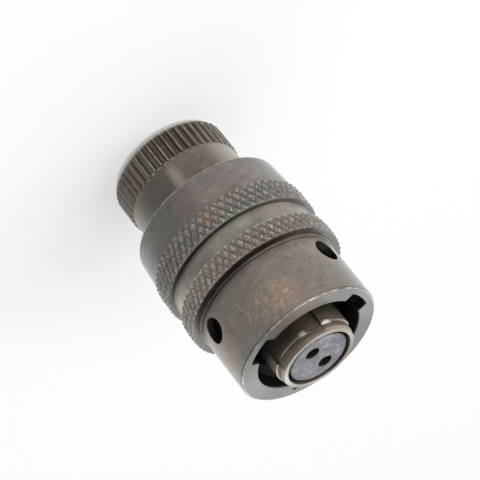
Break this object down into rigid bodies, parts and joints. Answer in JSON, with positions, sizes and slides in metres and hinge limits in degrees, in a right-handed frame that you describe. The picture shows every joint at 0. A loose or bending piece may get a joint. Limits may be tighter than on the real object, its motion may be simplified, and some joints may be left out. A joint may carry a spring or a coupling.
{
  "type": "circular bayonet connector plug",
  "caption": "Small circular cable plug with a knurled bayonet coupling ring, a keyed barrel, a grey insert with socket contacts and a knurled clamp nut.",
  "frame": {"origin": "middle of the clamp nut's flat rear face", "axes": "+Z along the plug's axis, from the cable end to the mating face"},
  "size_m": [0.0186, 0.0186, 0.0298],
  "materials": {
    "ring_plating": "satin olive-brown plating",
    "shell_plating": "dark brown plating",
    "nut_plating": "satin olive-brown plating",
    "gasket_rubber": "matt",
    "spring_steel": "bright",
    "washer_steel": "satin",
    "insert_plastic": "matt grey",
    "plate_plastic": "matt",
    "clip_alloy": "satin",
    "contact_gold": "gold plating",
    "hood_steel": "bright",
    "grommet_rubber": "matt",
    "follower_metal": "satin"
  },
  "bodies": {
    "follower": {"grommet_follower": "follower_metal"},
    "shell": {"plug_shell": "shell_plating", "interface_gasket": "gasket_rubber", "wave_washer": "spring_steel", "socket_insert": "insert_plastic", "retention_plate": "plate_plastic", "retention_clip_a": "clip_alloy", "retention_clip_b": "clip_alloy", "socket_contact_a": "contact_gold", "socket_contact_b": "contact_gold", "contact_hood_a": "hood_steel", "contact_hood_b": "hood_steel", "insert_retaining_ring": "spring_steel", "wire_grommet": "grommet_rubber"},
    "thrust": {"thrust_washer": "washer_steel"},
    "ring": {"coupling_ring": "ring_plating", "retaining_ring": "spring_steel"},
    "nut": {"clamp_nut": "nut_plating"}
  },
  "joints": [
    {"name": "thread_travel", "type": "slide", "parent": "follower", "child": "shell", "axis": [0, 0, 1], "range_m": [0, 0.00544]},
    {"name": "ring_float", "type": "slide", "parent": "shell", "child": "thrust", "axis": [0, 0, 1], "range_m": [0, 0.0005], "stiffness_N_per_m": 2000, "springref_m": -0.0005, "deforming": ["wave_washer"]},
    {"name": "ring_turn", "type": "hinge", "parent": "thrust", "child": "ring", "pos_m": [0, 0, 0.0182], "axis": [0, 0, 1], "continuous": true},
    {"name": "clamp_nut_turn", "type": "hinge", "parent": "follower", "child": "nut", "pos_m": [0, 0, 0.005], "axis": [0, 0, -1], "range_deg": [0, 2165]}
  ],
  "couplings": [
    {"joint": "clamp_nut_turn", "follows": "thread_travel", "rad_per_m": 6926.2}
  ]
}
